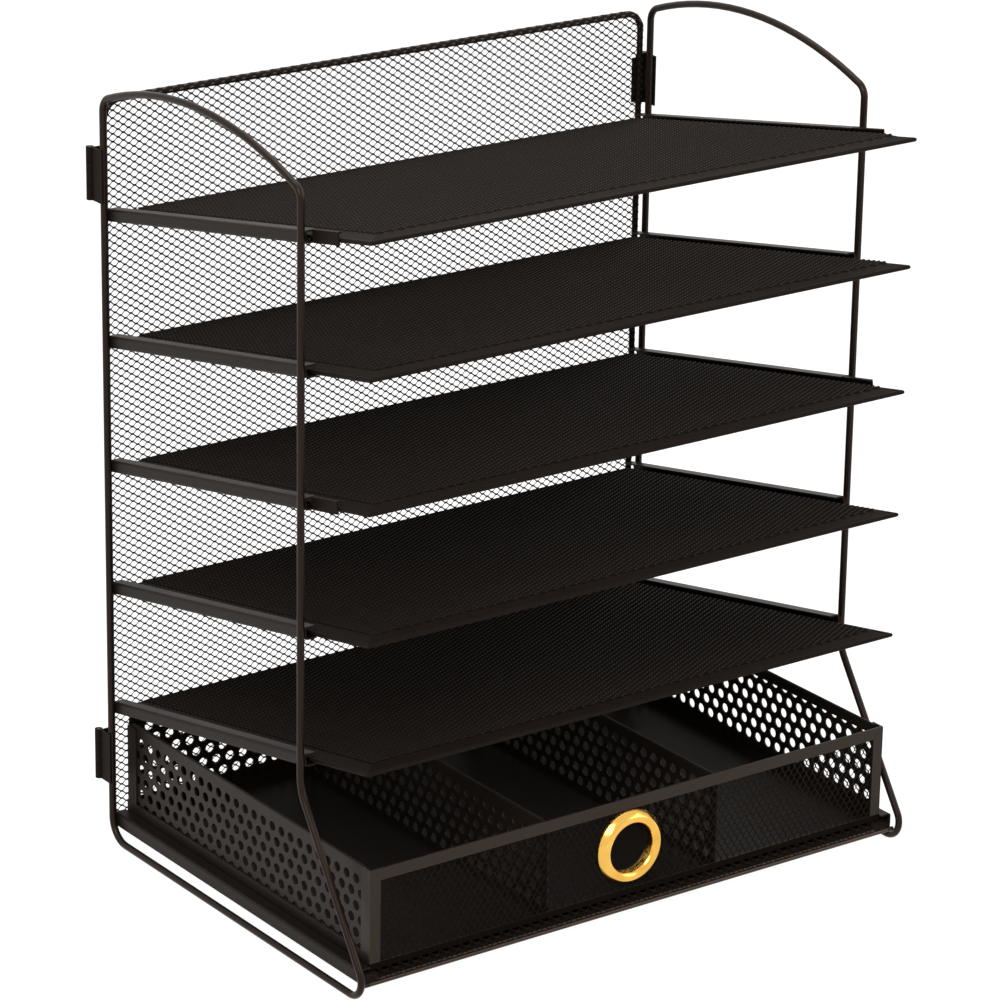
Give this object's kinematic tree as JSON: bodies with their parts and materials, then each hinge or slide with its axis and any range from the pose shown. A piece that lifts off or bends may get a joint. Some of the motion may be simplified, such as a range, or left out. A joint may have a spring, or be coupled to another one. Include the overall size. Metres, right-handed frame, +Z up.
{
  "type": "letter tray organizer with drawer",
  "caption": "Free-standing wire desk organizer with sloping mesh letter trays, a level base tray and a sliding perforated drawer with a round finger ring.",
  "frame": {"origin": "middle of the organizer's box, at the desk's surface", "axes": "+X to the user's right, +Y to the back panel, +Z up; trays and drawer pull out towards -Y"},
  "size_m": [0.339, 0.2354, 0.4043],
  "materials": {
    "frame_black": "semi-gloss",
    "net_black": "semi-gloss",
    "ring_gold": "polished"
  },
  "bodies": {
    "back_panel": {"back_frame_wire": "frame_black", "back_mesh": "net_black", "base_front_lip": "frame_black", "base_left_hook": "frame_black", "base_right_hook": "frame_black", "base_tray_mesh": "net_black", "base_tray_rim": "frame_black", "lower_left_hinge_pin": "frame_black", "lower_left_panel_leaf": "frame_black", "lower_right_hinge_pin": "frame_black", "lower_right_panel_leaf": "frame_black", "upper_left_hinge_pin": "frame_black", "upper_left_panel_leaf": "frame_black", "upper_right_hinge_pin": "frame_black", "upper_right_panel_leaf": "frame_black"},
    "left_side": {"left_base_rail": "frame_black", "left_rail_1": "frame_black", "left_rail_2": "frame_black", "left_rail_3": "frame_black", "left_rail_4": "frame_black", "left_rail_5": "frame_black", "left_side_wire": "frame_black", "lower_left_side_leaf": "frame_black", "upper_left_side_leaf": "frame_black"},
    "right_side": {"lower_right_side_leaf": "frame_black", "right_base_rail": "frame_black", "right_rail_1": "frame_black", "right_rail_2": "frame_black", "right_rail_3": "frame_black", "right_rail_4": "frame_black", "right_rail_5": "frame_black", "right_side_wire": "frame_black", "upper_right_side_leaf": "frame_black"},
    "drawer": {"drawer_back_wall": "frame_black", "drawer_front_frame": "frame_black", "drawer_front_mesh": "net_black", "drawer_left_divider": "frame_black", "drawer_left_wall": "frame_black", "drawer_pan": "frame_black", "drawer_right_divider": "frame_black", "drawer_right_wall": "frame_black", "finger_ring": "ring_gold", "ring_washer": "frame_black"},
    "tray_1": {"tray_1_left_stop_tab": "frame_black", "tray_1_mesh": "net_black", "tray_1_right_stop_tab": "frame_black", "tray_1_rim": "frame_black"},
    "tray_2": {"tray_2_mesh": "net_black", "tray_2_rim": "frame_black"},
    "tray_3": {"tray_3_left_stop_tab": "frame_black", "tray_3_mesh": "net_black", "tray_3_right_stop_tab": "frame_black", "tray_3_rim": "frame_black"},
    "tray_4": {"tray_4_mesh": "net_black", "tray_4_rim": "frame_black"},
    "tray_5": {"tray_5_mesh": "net_black", "tray_5_rim": "frame_black"}
  },
  "joints": [
    {"name": "drawer_slide", "type": "slide", "parent": "back_panel", "child": "drawer", "axis": [0, -1, 0], "range_m": [0, 0.18]},
    {"name": "tray_1_slide", "type": "slide", "parent": "back_panel", "child": "tray_1", "axis": [0, -0.9821, 0.1886], "range_m": [0, 0.12]},
    {"name": "tray_2_slide", "type": "slide", "parent": "back_panel", "child": "tray_2", "axis": [0, -0.9821, 0.1886], "range_m": [0, 0.12]},
    {"name": "tray_3_slide", "type": "slide", "parent": "back_panel", "child": "tray_3", "axis": [0, -0.9821, 0.1886], "range_m": [0, 0.12]},
    {"name": "tray_4_slide", "type": "slide", "parent": "back_panel", "child": "tray_4", "axis": [0, -0.9821, 0.1886], "range_m": [0, 0.12]},
    {"name": "tray_5_slide", "type": "slide", "parent": "back_panel", "child": "tray_5", "axis": [0, -0.9821, 0.1886], "range_m": [0, 0.12]},
    {"name": "left_side_fold", "type": "hinge", "parent": "back_panel", "child": "left_side", "pos_m": [-0.1675, 0.11575, 0], "axis": [0, 0, -1], "range_deg": [0, 225]},
    {"name": "right_side_fold", "type": "hinge", "parent": "back_panel", "child": "right_side", "pos_m": [0.1675, 0.11575, 0], "axis": [0, 0, 1], "range_deg": [0, 225]}
  ]
}
